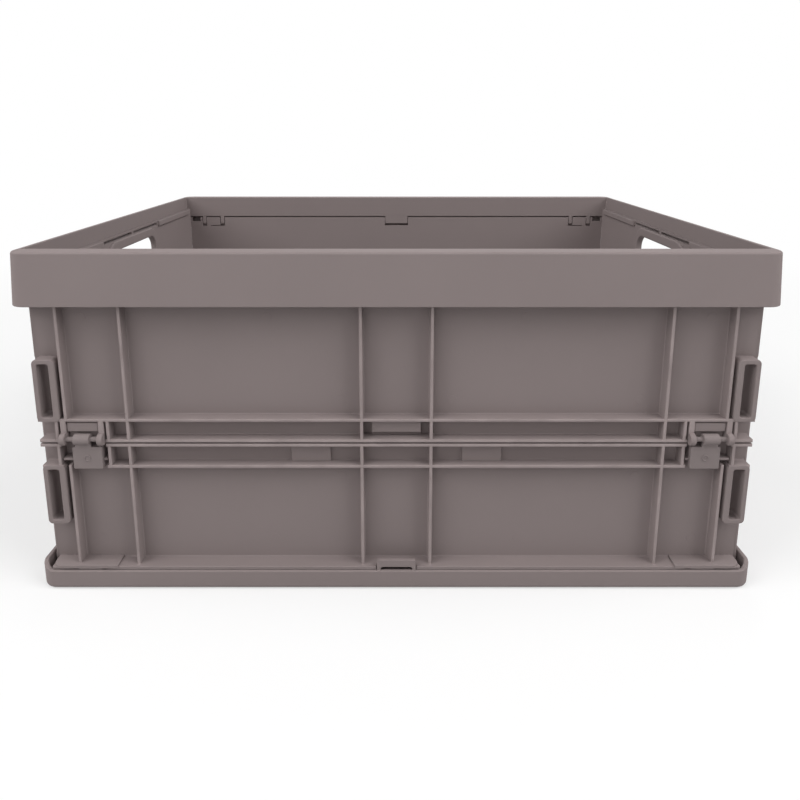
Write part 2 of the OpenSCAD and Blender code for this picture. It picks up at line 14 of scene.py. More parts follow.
import bpy
import numpy as np
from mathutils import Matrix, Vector


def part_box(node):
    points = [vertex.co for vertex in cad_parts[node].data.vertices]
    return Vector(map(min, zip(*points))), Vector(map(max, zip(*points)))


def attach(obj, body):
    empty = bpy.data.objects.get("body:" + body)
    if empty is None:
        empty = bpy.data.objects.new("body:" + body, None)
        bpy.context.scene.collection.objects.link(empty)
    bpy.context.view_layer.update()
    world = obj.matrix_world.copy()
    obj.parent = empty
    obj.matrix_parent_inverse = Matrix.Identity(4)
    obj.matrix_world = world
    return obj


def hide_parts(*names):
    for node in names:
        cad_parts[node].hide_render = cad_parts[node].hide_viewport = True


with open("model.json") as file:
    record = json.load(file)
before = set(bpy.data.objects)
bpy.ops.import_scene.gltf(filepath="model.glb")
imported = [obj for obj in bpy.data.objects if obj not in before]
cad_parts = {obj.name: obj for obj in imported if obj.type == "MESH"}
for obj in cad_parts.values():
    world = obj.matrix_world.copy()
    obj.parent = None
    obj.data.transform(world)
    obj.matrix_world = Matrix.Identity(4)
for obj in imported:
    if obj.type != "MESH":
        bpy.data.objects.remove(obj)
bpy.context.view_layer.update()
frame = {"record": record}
LOG = logging.getLogger("crate")
MM = 0.001
# Edges that bend by more than this, in degrees, stay sharp
SHARP_ANGLE = 50.0
# How far a part reaches into the one that carries it, in millimetres
LAP = 0.2
# Radius of the edges of lugs, barrels and other small parts, in millimetres
FINE_EDGE = 0.3
# Sides of small round marks
MARK_SIDES = 24
Span = tuple[float, float]
Opening = tuple[Span, Span]
Point = tuple[float, float, float]


class Axis(Enum):
    """Direction of a prism; its outline lies in the next two axes, in cyclic order."""

    X = 1
    Y = 2
    Z = 3


class Turn(Enum):
    """Turn about +Z, in degrees, that puts a wall drawn as the back wall into its place."""

    BACK = 0
    LEFT = 90
    FRONT = 180
    RIGHT = 270


# Shapes

def circle(radius: float, sides: int = 32) -> np.ndarray:
    """Points at equal angles round the origin, anticlockwise."""
    angle = np.linspace(0.0, 2.0 * math.pi, sides, endpoint=False)
    return radius * np.column_stack((np.cos(angle), np.sin(angle)))


def rounded_rect(half_a: float, half_b: float, radius: float, arc: int = 6,
                 side: tuple[int, int] = (1, 1)) -> np.ndarray:
    """Rectangle with round corners about the origin, anticlockwise.

    Args:
        half_a: Half of its size along the first axis.
        half_b: Half of its size along the second axis.
        radius: Radius of its corners.
        arc: Steps in a corner's quarter turn.
        side: Steps along the straight sides of the first axis and of the second.

    Returns:
        The points as rows: each corner is a centre plus a quarter of a circle, and each side is cut evenly.
    """
    turn = np.linspace(0.0, math.pi / 2.0, arc + 1)
    quarter = radius * np.column_stack((np.cos(turn), np.sin(turn)))
    parts = []
    for sign_a, sign_b, start in ((1, 1, 0.0), (-1, 1, 0.5), (-1, -1, 1.0), (1, -1, 1.5)):
        c, s = math.cos(start * math.pi), math.sin(start * math.pi)
        centre = np.array((sign_a * (half_a - radius), sign_b * (half_b - radius)))
        parts.append(centre + quarter @ np.array(((c, s), (-s, c))))
    outline = []
    for k, part in enumerate(parts):
        share = np.linspace(0.0, 1.0, side[k % 2] + 1)[1:-1, None]
        outline += [part, part[-1] + share * (parts[(k + 1) % 4][0] - part[-1])]
    return np.vstack(outline)


def lug_outline(half: float, base: float, sides: int = 12) -> np.ndarray:
    """Outline of a lug: a half circle about the origin on a straight foot that reaches down to -base."""
    return np.vstack((bend((0.0, 0.0), half, 0.0, 180.0, sides), ((-half, -base), (half, -base))))


def bend(centre: Span, radius: float, start: float, stop: float, steps: int = 3) -> np.ndarray:
    """Points on an arc about a centre, between two angles in degrees."""
    angle = np.radians(np.linspace(start, stop, steps + 1))
    return np.array(centre) + radius * np.column_stack((np.cos(angle), np.sin(angle)))


def wall_loops(bounds: Opening, corner: float, rows: np.ndarray, arc: int) -> np.ndarray:
    """Loops on a wall round a rectangle with round corners.

    Args:
        bounds: Bounds of the rectangle along the wall and in height.
        corner: Radius of its corners.
        rows: For each loop, how far it lies outside the rectangle, and its depth across the wall.
        arc: Steps in a corner's quarter turn.

    Returns:
        Array of loops, points and coordinates; each loop runs from x towards z.
    """
    (x0, x1), (z0, z1) = bounds
    loops = []
    for out, y in rows:
        plan = rounded_rect((x1 - x0) / 2.0 + out, (z1 - z0) / 2.0 + out, corner + out, arc)
        plan += np.array(((x0 + x1) / 2.0, (z0 + z1) / 2.0))
        loops.append(np.column_stack((plan[:, 0], np.full(len(plan), y), plan[:, 1])))
    return np.stack(loops)


def mirrored(spans: list[Span]) -> list[Span]:
    """Spans along a wall and their mirror images on its other half."""
    return spans + [(-b, -a) for a, b in spans]


def on_both_halves(x: Span, z: Span) -> list[Opening]:
    """An opening and its mirror image on the wall's other half."""
    return [(side, z) for side in mirrored([x])]


@dataclass
class Shell:
    """The closed surfaces that make up one piece, gathered as arrays in millimetres."""

    name: str
    points: list[np.ndarray] = field(default_factory=list)
    # Per point, how much its colour is lightened: partly rubbed wear, partly painted highlight on proud
    # faces
    wear_and_highlight: list[np.ndarray] = field(default_factory=list)
    faces: list[list[int]] = field(default_factory=list)
    count: int = 0

    def add(self, points: np.ndarray, quads: np.ndarray, caps: list[np.ndarray] | None = None,
            wear_and_highlight: np.ndarray | None = None) -> None:
        """Adds one surface.

        Args:
            points: Its points as rows of x, y, z.
            quads: Its faces as rows of four point numbers.
            caps: Faces with more corners, each as a row of point numbers.
            wear_and_highlight: How much each point is lightened, from 0 to 1: partly rubbed wear and partly
                painted highlight.
        """
        self.points.append(points)
        self.wear_and_highlight.append(np.zeros(len(points)) if wear_and_highlight is None else wear_and_highlight)
        self.faces.extend((quads + self.count).tolist())
        self.faces.extend((cap + self.count).tolist() for cap in caps or [])
        self.count += len(points)

    def loft(self, loops: np.ndarray, ring: bool = False) -> None:
        """Joins closed loops, each to the next, and closes the two ends or joins the last to the first.

        Args:
            loops: Array of loops, points and coordinates; the loops run anticlockwise seen from ahead.
            ring: Whether the loops' row is itself closed, as round a frame.
        """
        rows, size = loops.shape[:2]
        number = np.arange(rows * size).reshape(rows, size)
        ahead = np.roll(number, -1, axis=0) if ring else number[1:]
        here = number if ring else number[:-1]
        quads = np.stack((here, np.roll(here, -1, 1), np.roll(ahead, -1, 1), ahead), axis=-1)
        caps = None if ring else [number[0, ::-1], number[-1]]
        self.add(loops.reshape(-1, 3), quads.reshape(-1, 4), caps)

    def prism(self, outline: np.ndarray, span: Span, axis: Axis, edge: float = 0.4,
              centre: Span = (0.0, 0.0), steps: int = 3) -> None:
        """Carries a closed outline along an axis and rounds the rims of its two ends.

        The rim's rounding is a quarter circle: at an angle t the outline is drawn in by edge times
        one less the sine of t, and lies edge times one less the cosine of t behind the end.

        Args:
            outline: Points of the outline, anticlockwise.
            span: Low and high end along the axis.
            axis: The axis.
            edge: Radius of the rims.
            centre: Shift of the outline in its own plane.
            steps: Steps in each rim's rounding.
        """
        tangent = np.roll(outline, -1, 0) - np.roll(outline, 1, 0)
        outward = np.column_stack((tangent[:, 1], -tangent[:, 0]))
        outward /= np.linalg.norm(outward, axis=1, keepdims=True)
        turn = np.linspace(0.0, math.pi / 2.0, steps + 1)
        inset = edge * (1.0 - np.sin(turn))
        rise = edge * (1.0 - np.cos(turn))
        level = np.concatenate((span[0] + rise, span[1] - rise[::-1]))
        drawn_in = np.concatenate((inset, inset[::-1]))
        flat = outline + np.array(centre) - drawn_in[:, None, None] * outward
        height = np.broadcast_to(level[:, None, None], (*flat.shape[:2], 1))
        self.loft(np.roll(np.concatenate((flat, height), axis=2), axis.value, axis=2))

    def box(self, x: Span, y: Span, z: Span, corner: float = 0.4, edge: float = 0.4) -> None:
        """A block with rounded edges, between bounds on each axis."""
        half = (x[1] - x[0]) / 2.0, (y[1] - y[0]) / 2.0
        centre = (x[0] + x[1]) / 2.0, (y[0] + y[1]) / 2.0
        self.prism(rounded_rect(*half, min(corner, *half), arc=3), z, Axis.Z, edge, centre)

    def turned(self, turn: Turn) -> None:
        """Turns all that has been gathered about +Z."""
        c, s = math.cos(math.radians(turn.value)), math.sin(math.radians(turn.value))
        spin = np.array(((c, s, 0.0), (-s, c, 0.0), (0.0, 0.0, 1.0)))
        self.points = [points @ spin for points in self.points]

    def build(self, finish: "MouldedPlastic", body: str, slot: str, nodes: list[str]) -> None:
        """Makes the mesh, dresses it and puts it in place of its nodes.

        Args:
            finish: The finish.
            body: The body that the piece rides on.
            slot: The record's material slot; not used.
            nodes: The nodes that the piece stands for.
        """
        mesh = bpy.data.meshes.new(self.name)
        mesh.from_pydata((np.vstack(self.points) * MM).tolist(), [], self.faces)
        mesh.polygons.foreach_set("use_smooth", np.ones(len(mesh.polygons), bool))
        mesh.set_sharp_from_angle(angle=math.radians(SHARP_ANGLE))
        # Mask of rubbed wear and painted highlight, which the finish turns into a lighter colour
        wear_and_highlight_mask = mesh.attributes.new("wear_and_highlight", "FLOAT", "POINT")
        wear_and_highlight_mask.data.foreach_set("value", np.concatenate(self.wear_and_highlight))
        mesh.materials.append(finish.material())
        piece = bpy.data.objects.new(self.name, mesh)
        bpy.context.scene.collection.objects.link(piece)
        even = piece.modifiers.new("even_normals", "WEIGHTED_NORMAL")
        even.keep_sharp = True
        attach(piece, body)
        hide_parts(*nodes)
        LOG.info("%s: %d points, %d faces", self.name, len(mesh.vertices), len(mesh.polygons))


@dataclass(frozen=True)
class Raised:
    """A raised rectangle of a relief: its bounds along the wall and in height, and its top."""

    x: Span
    z: Span
    top: float

    def both(self) -> list["Raised"]:
        """The same on both halves of the wall."""
        return [self, Raised((-self.x[1], -self.x[0]), self.z, self.top)]


@dataclass
class Relief:
    """A slab with raised rectangles on its outer face, and openings through it.

    Its outer face is a height over a grid of x and z. Near the edge of a rectangle, at a signed
    distance s outside it, the height is the top's for s below -edge, a quarter circle of radius edge
    up to s of 0, a steep wall over the draft, and a hollow quarter circle of radius root down to the
    floor. The rectangles' heights are joined by their maximum. Points at the plane of wear and
    highlight, and a little behind or ahead of it, get a lighter colour: partly rubbed wear and partly
    painted highlight on the proud faces; those that stand farther out do not.
    """

    x: Span
    z: Span
    inner: float
    floor: float
    raised: list[Raised]
    openings: list[Opening]
    # Plane of the faces whose colour is lightened, partly as rubbed wear and partly as painted highlight
    worn_and_lit: float
    edge: float = 0.45
    root: float = 0.8
    draft: float = 0.08
    # How far behind and ahead of that plane the lightening reaches
    wear_and_highlight_depth: float = 0.8
    wear_and_highlight_ahead: float = 0.2
    edge_shares: tuple[float, ...] = (1.0, 0.45, 0.1, 0.0)
    root_shares: tuple[float, ...] = (0.0, 0.3, 1.0)
    coarse_lines: int = 9
    room_beside_exact: float = 0.03
    least_step: float = 0.025
    most_of_rise: float = 0.45

    def lines(self, bounds: Span, spans: list[Span], holes: list[Span]) -> np.ndarray:
        """Grid lines along one axis: close together round every edge, and few elsewhere.

        Args:
            bounds: Low and high end of the slab.
            spans: Bounds of the raised rectangles.
            holes: Bounds of the openings.

        Returns:
            The lines in rising order, none closer than a few hundredths of a millimetre.
        """
        step = np.concatenate((
            -self.edge * np.array(self.edge_shares), self.draft + self.root * np.array(self.root_shares),
        ))
        low = [a - step for a, _ in spans]
        high = [b + step for _, b in spans]
        exact = np.array([bounds[0], bounds[1]] + [v for pair in holes for v in pair])
        every = np.concatenate([*low, *high, np.linspace(*bounds, self.coarse_lines)])
        every = every[(every > bounds[0]) & (every < bounds[1])]
        every = every[np.abs(every[:, None] - exact).min(axis=1) > self.room_beside_exact]
        every = np.sort(np.concatenate((every, np.unique(exact))))
        keep = np.concatenate(((True,), np.diff(every) > self.least_step))
        keep |= np.isin(every, exact)
        return every[keep]

    def height(self, x: np.ndarray, z: np.ndarray) -> np.ndarray:
        """Height of the outer face at grid points, by the rule in the class's words."""
        out = np.full(np.broadcast(x, z).shape, self.floor)
        for block in self.raised:
            side_x = np.maximum(block.x[0] - x, x - block.x[1])
            side_z = np.maximum(block.z[0] - z, z - block.z[1])
            outside = np.hypot(np.maximum(side_x, 0.0), np.maximum(side_z, 0.0))
            s = outside + np.minimum(np.maximum(side_x, side_z), 0.0)
            most = self.most_of_rise * (block.top - self.floor)
            edge, root = min(self.edge, most), min(self.root, most)
            round_in = np.clip(s + edge, 0.0, edge)
            top = block.top - edge + np.sqrt(edge**2 - round_in**2)
            wall = np.clip(s / self.draft, 0.0, 1.0)
            hollow = root - np.clip(s - self.draft, 0.0, root)
            foot = self.floor + root - np.sqrt(root**2 - hollow**2)
            out = np.maximum(out, np.where(s <= 0.0, top, (1 - wall) * (block.top - edge) + wall * foot))
        return out

    def add_to(self, shell: Shell) -> None:
        """Adds the slab to a shell: both faces, and walls round its rim and its openings."""
        x = self.lines(self.x, [r.x for r in self.raised], [hole[0] for hole in self.openings])
        z = self.lines(self.z, [r.z for r in self.raised], [hole[1] for hole in self.openings])
        gx, gz = np.meshgrid(x, z, indexing="ij")
        outer = np.stack((gx, self.height(gx, gz), gz), axis=-1)
        inner = np.stack((gx, np.full_like(gx, self.inner), gz), axis=-1)
        mid_x, mid_z = (x[1:] + x[:-1]) / 2.0, (z[1:] + z[:-1]) / 2.0
        solid = np.ones((len(mid_x), len(mid_z)), bool)
        for (x0, x1), (z0, z1) in self.openings:
            solid &= ~(((mid_x > x0) & (mid_x < x1))[:, None] & ((mid_z > z0) & (mid_z < z1))[None, :])
        number = np.arange(gx.size).reshape(gx.shape)
        front, back = number, number + gx.size

        def cells(grid: np.ndarray, order: list[tuple[int, int]]) -> np.ndarray:
            """The solid cells' corners on a face, in an order of steps along x and z."""
            a, b = np.nonzero(solid)
            return np.stack([grid[a + i, b + j] for i, j in order], axis=-1)

        quads = [
            cells(front, [(0, 0), (0, 1), (1, 1), (1, 0)]),
            cells(back, [(0, 0), (1, 0), (1, 1), (0, 1)]),
        ]
        across = np.diff(np.pad(solid, ((1, 1), (0, 0))).astype(int), axis=0)
        for sign in (1, -1):
            i, j = np.nonzero(across == sign)
            wall = np.stack((back[i, j], back[i, j + 1], front[i, j + 1], front[i, j]), axis=-1)
            quads.append(wall[:, ::sign])
        upward = np.diff(np.pad(solid, ((0, 0), (1, 1))).astype(int), axis=1)
        for sign in (1, -1):
            i, j = np.nonzero(upward == sign)
            wall = np.stack((back[i, j], front[i, j], front[i + 1, j], back[i + 1, j]), axis=-1)
            quads.append(wall[:, ::sign])
        quads = np.vstack(quads)
        used, compact = np.unique(quads, return_inverse=True)
        points = np.concatenate((outer.reshape(-1, 3), inner.reshape(-1, 3)))[used]
        # Lighter colour at and near that plane: partly rubbed wear, partly painted highlight on the proud
        # faces
        behind = self.worn_and_lit - points[:, 1]
        wear_and_highlight_mask = np.clip(1.0 - behind / self.wear_and_highlight_depth, 0.0, 1.0) * (behind > -self.wear_and_highlight_ahead)
        shell.add(points, compact.reshape(quads.shape), wear_and_highlight=wear_and_highlight_mask)


# Finish

@dataclass(frozen=True)
class Nodes:
    """The shader nodes of a material or of the surround."""

    tree: bpy.types.NodeTree

    def fill(self, node: bpy.types.Node, inputs: dict[str | int, object]) -> None:
        """Sets a node's inputs, by name or number: a socket is linked, and anything else is a value."""
        for name, value in inputs.items():
            if isinstance(value, bpy.types.NodeSocket):
                self.tree.links.new(value, node.inputs[name])
            else:
                node.inputs[name].default_value = value

    def add(self, kind: str, inputs: dict[str | int, object] | None = None,
            **settings: str) -> bpy.types.NodeOutputs:
        """Adds a node.

        Args:
            kind: Its type, without the prefix that all these types share.
            inputs: Its inputs, as for fill.
            settings: Its choices, which are made before its inputs are set.

        Returns:
            Its outputs.
        """
        node = self.tree.nodes.new(f"ShaderNode{kind}")
        for name, choice in settings.items():
            setattr(node, name, choice)
        self.fill(node, inputs or {})
        return node.outputs


@dataclass(frozen=True)
class MouldedPlastic:
    """Matte moulded plastic: a mottled colour, a fine grain, an uneven dull gloss, and proud faces lightened
    partly as rubbed wear and partly as painted highlight.

    A scale is in cells of noise per metre, with its octaves. The grain's depth is in metres.
    """

    name: str
    colour: tuple[int, int, int]
    roughness: Span = (0.66, 0.8)
    specular: float = 0.2
    refraction: float = 1.35
    mottle: float = 0.05
    mottle_scale: Span = (14.0, 4.0)
    grain_scale: Span = (1900.0, 2.0)
    grain_depth: float = 0.00004
    grain_strength: float = 0.35
    # How much lighter the marked faces are, and the scale of its patches: partly rubbed wear, partly painted
    # highlight
    wear_and_highlight: float = 0.65
    wear_and_highlight_scale: Span = (60.0, 3.0)

    def linear(self, share: float) -> tuple[float, float, float, float]:
        """The colour in linear light, times a share, with an alpha of one."""
        value = np.array(self.colour) / 255.0
        value = np.where(value <= 0.04045, value / 12.92, ((value + 0.055) / 1.055) ** 2.4)
        return (*(value * share).tolist(), 1.0)

    def material(self) -> bpy.types.Material:
        """Makes the material once, and returns it."""
        if self.name in bpy.data.materials:
            return bpy.data.materials[self.name]
        material = bpy.data.materials.new(self.name)
        material.use_nodes = True
        nodes = Nodes(material.node_tree)
        where = nodes.add("TexCoord")["Object"]
        mottle, grain, wear_and_highlight_noise = (
            nodes.add("TexNoise", {"Vector": where, "Scale": scale, "Detail": detail})["Fac"]
            for scale, detail in (self.mottle_scale, self.grain_scale, self.wear_and_highlight_scale)
        )
        tint = nodes.add("Mix", {
            "Factor": mottle, "A": self.linear(1.0 - self.mottle), "B": self.linear(1.0 + self.mottle),
        }, data_type="RGBA")
        # Marked proud faces lightened in patches: partly rubbed wear, partly painted highlight
        wear_and_highlight_mask = nodes.add("Attribute", attribute_name="wear_and_highlight")
        wear_and_highlight_share = nodes.add("Math", {0: wear_and_highlight_mask["Fac"], 1: wear_and_highlight_noise}, operation="MULTIPLY")
        worn_and_lit = nodes.add("Mix", {
            "Factor": wear_and_highlight_share[0], "A": tint["Result"], "B": self.linear(1.0 + self.wear_and_highlight),
        }, data_type="RGBA")
        low, high = self.roughness
        gloss = nodes.add("MapRange", {"Value": grain, "To Min": low, "To Max": high})
        bump = nodes.add("Bump", {
            "Height": grain, "Strength": self.grain_strength, "Distance": self.grain_depth,
        })
        nodes.fill(material.node_tree.nodes["Principled BSDF"], {
            "Base Color": worn_and_lit["Result"], "Roughness": gloss["Result"], "Normal": bump["Normal"],
            "Specular IOR Level": self.specular, "IOR": self.refraction,
        })
        return material


# Studio

@dataclass(frozen=True)
class SoftLamp:
    """A square lamp that faces the crate: its place and side in metres, and its power in watts."""

    name: str
    at: Point
    side: float
    power: float
    aim: Point = (0.0, 0.0, 0.1)

    def build(self) -> None:
        """Makes the lamp."""
        data = bpy.data.lights.new(self.name, "AREA")
        data.size, data.energy = self.side, self.power
        lamp = bpy.data.objects.new(self.name, data)
        lamp.location = self.at
        lamp.rotation_euler = (lamp.location - Vector(self.aim)).to_track_quat("Z", "Y").to_euler()
        bpy.context.scene.collection.objects.link(lamp)


@dataclass(frozen=True)
class Studio:
    """A pale floor, a white surround, soft lamps and the camera at the photograph's view.

    The floor's sizes are in metres, and the camera's place is in millimetres.
    """

    lamps: tuple[SoftLamp, ...] = (
        SoftLamp("right_light", (1.7, -0.7, 1.7), 1.8, 46.0),
        SoftLamp("left_light", (-1.7, -0.7, 1.7), 1.8, 41.0),
        SoftLamp("front_light", (-0.6, -2.0, 0.9), 1.6, 9.0),
        SoftLamp("back_light", (0.3, 2.4, 0.8), 1.6, 14.0),
    )
    floor_half: float = 6.0
    floor_drop: float = 0.0002
    floor_white: float = 0.5
    floor_glow: float = 0.44
    shadow_reach: Span = (0.45, 1.4)
    surround: float = 0.2
    lens: float = 28.85
    sensor: float = 36.0
    clip_start: float = 0.01
    camera_at: Point = (0.0, -554.6, 301.3)
    pitch_down: float = 10.98
    shift: Span = (0.0045, -0.179)

    def build(self) -> None:
        """Makes the floor, the surround, the lamps and the camera."""
        self.floor()
        self.world()
        for lamp in self.lamps:
            lamp.build()
        data = bpy.data.cameras.new("camera")
        data.lens, data.sensor_width = self.lens, self.sensor
        data.shift_x, data.shift_y = self.shift
        data.clip_start = self.clip_start
        camera = bpy.data.objects.new("camera", data)
        camera.location = [v * MM for v in self.camera_at]
        camera.rotation_euler = (math.radians(90.0 - self.pitch_down), 0.0, 0.0)
        bpy.context.scene.collection.objects.link(camera)
        bpy.context.scene.camera = camera
        bpy.context.scene.view_settings.view_transform = "Standard"

    @staticmethod
    def seen_directly(nodes: Nodes) -> bpy.types.NodeSocket:
        """One for rays of the camera and for rays mirrored or passed on, and nought for light."""
        path = nodes.add("LightPath")
        first = nodes.add("Math", {0: path["Is Camera Ray"], 1: path["Is Glossy Ray"]}, operation="MAXIMUM")
        both = nodes.add("Math", {0: first[0], 1: path["Is Transmission Ray"]}, operation="MAXIMUM")
        return both[0]

    def floor(self) -> None:
        """A wide pale floor that throws light back, and shows white with the crate's shadow on it.

        Seen directly, it is its matte white plus a glow, which come to white where no shadow falls.
        Farther out the lamps fade, so by a smooth step of the distance it turns into plain white.
        """
        h = self.floor_half
        mesh = bpy.data.meshes.new("floor")
        mesh.from_pydata([(-h, -h, 0.0), (h, -h, 0.0), (h, h, 0.0), (-h, h, 0.0)], [], [(0, 1, 2, 3)])
        floor = bpy.data.objects.new("floor", mesh)
        floor.location.z = -self.floor_drop
        bpy.context.scene.collection.objects.link(floor)
        material = bpy.data.materials.new("floor_white")
        material.use_nodes = True
        material.node_tree.nodes.clear()
        nodes = Nodes(material.node_tree)
        matte = nodes.add("BsdfDiffuse", {"Color": (*[self.floor_white] * 3, 1.0)})[0]
        glow = nodes.add("Emission", {"Strength": self.floor_glow})[0]
        near = nodes.add("AddShader", {0: matte, 1: glow})[0]
        distance = nodes.add("VectorMath", {0: nodes.add("TexCoord")["Object"]}, operation="LENGTH")
        low, high = self.shadow_reach
        far = nodes.add("MapRange", {
            "Value": distance["Value"], "From Min": low, "From Max": high,
        }, interpolation_type="SMOOTHSTEP")
        shown = nodes.add("MixShader", {"Fac": far["Result"], 1: near, 2: nodes.add("Emission")[0]})[0]
        both = nodes.add("MixShader", {"Fac": self.seen_directly(nodes), 1: matte, 2: shown})[0]
        nodes.add("OutputMaterial", {"Surface": both})
        mesh.materials.append(material)

    def world(self) -> None:
        """An even surround that lights softly and shows white."""
        world = bpy.data.worlds.new("surround")
        bpy.context.scene.world = world
        world.use_nodes = True
        world.node_tree.nodes.clear()
        nodes = Nodes(world.node_tree)
        soft, white = (
            nodes.add("Background", {"Color": (1.0, 1.0, 1.0, 1.0), "Strength": strength})[0]
            for strength in (self.surround, 1.0)
        )
        both = nodes.add("MixShader", {"Fac": self.seen_directly(nodes), 1: soft, 2: white})[0]
        nodes.add("OutputWorld", {"Surface": both})


CRATE_PLASTIC = MouldedPlastic("crate_finish", (136, 125, 124))
HINGE_PLASTIC = MouldedPlastic("hinge_finish", (132, 122, 121), roughness=(0.6, 0.72), grain_strength=0.25)


# Crate

def node_box(name: str) -> np.ndarray:
    """Low and high corner of a node at rest, in millimetres."""
    return np.array(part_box(name)) / MM


@dataclass(frozen=True)
class Layout:
    """Planes and axes that the parts share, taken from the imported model; y is outwards on a wall.

    An axis is a pair of y and z. The sizes that have a value here are those that no node's box shows.
    """

    half_len: float
    half_dep: float
    height: float
    skirt_z: float
    wall_half: float
    wall_in: float
    wall_top: float
    wall_foot: float
    split_z: float
    band_foot: float
    foot_axis: Span
    rim_axis: Span
    mid_axis: Span
    end_axis: Span
    side_hinge: float
    mid_hinge: float
    mid_half: float
    end_hinge: float
    end_half: float
    end_out: float
    end_top: float
    skin: float = 2.0
    rib: float = 2.0
    ribs_behind_axis: float = 0.5
    split_gap: float = 1.0
    band_over: float = 13.6
    barrel: float = 2.6
    end_barrel: float = 2.2
    end_thick: float = 3.4
    barrel_half: float = 7.5
    lug: float = 4.0
    lug_gap: float = 0.5
    seal: float = 0.38

    @classmethod
    def from_frame(cls) -> "Layout":
        """Reads the planes and axes off the boxes of the nodes."""
        rim, upper, lower = map(node_box, ("top_rim", "back_upper_panel", "back_lower_panel"))
        foot_pin, rim_pin, mid_pin = (
            node_box(f"back_right_{name}_pin") for name in ("foot", "rim", "middle")
        )
        end_pin, end_wall = node_box("right_back_end_pin"), node_box("right_end_wall")

        def axis(pin: np.ndarray) -> Span:
            """Place of a long wall's pin across the wall."""
            return tuple(pin.mean(axis=0)[1:].tolist())

        return cls(
            half_len=rim[1, 0], half_dep=rim[1, 1], height=rim[1, 2], skirt_z=rim[0, 2],
            wall_half=lower[1, 0], wall_in=lower[0, 1], wall_top=upper[1, 2], wall_foot=lower[0, 2],
            split_z=lower[1, 2], band_foot=node_box("back_right_hinge_clip")[0, 2],
            foot_axis=axis(foot_pin), rim_axis=axis(rim_pin), mid_axis=axis(mid_pin),
            end_axis=(end_pin[:, 0].mean(), end_pin[:, 2].mean()),
            side_hinge=foot_pin[:, 0].mean(), mid_hinge=mid_pin[:, 0].mean(),
            mid_half=np.ptp(mid_pin[:, 0]) / 2.0, end_hinge=end_pin[:, 1].mean(),
            end_half=end_wall[1, 1], end_out=end_wall[1, 0], end_top=end_wall[1, 2],
        )

    @property
    def skin_y(self) -> float:
        """Outer face of a long wall's skin."""
        return self.wall_in + self.skin

    @property
    def rib_y(self) -> float:
        """Plane of the ribs' edges."""
        return self.mid_axis[0] - self.ribs_behind_axis

    @property
    def band_top(self) -> float:
        """Upper side of the ribbed band at mid-height."""
        return self.mid_axis[1] + self.band_over

    def lugs(self, hinge: float) -> list[Span]:
        """The lugs beside the barrels whose middles lie at a place along the wall, on both halves."""
        near = self.barrel_half + self.lug_gap
        return mirrored([(hinge - near - self.lug, hinge - near), (hinge + near, hinge + near + self.lug)])

    def notches(self, hinge: float, z: Span) -> list[Opening]:
        """Openings that clear those lugs."""
        gap = self.lug_gap
        return [((a - gap, b + gap), z) for a, b in self.lugs(hinge)]

    def add_barrels(self, shell: Shell, hinge: float, axis: Span, radius: float) -> None:
        """Adds the barrels between those lugs, about an axis."""
        for x in mirrored([(hinge - self.barrel_half, hinge + self.barrel_half)]):
            shell.prism(circle(radius), x, Axis.X, FINE_EDGE, axis)


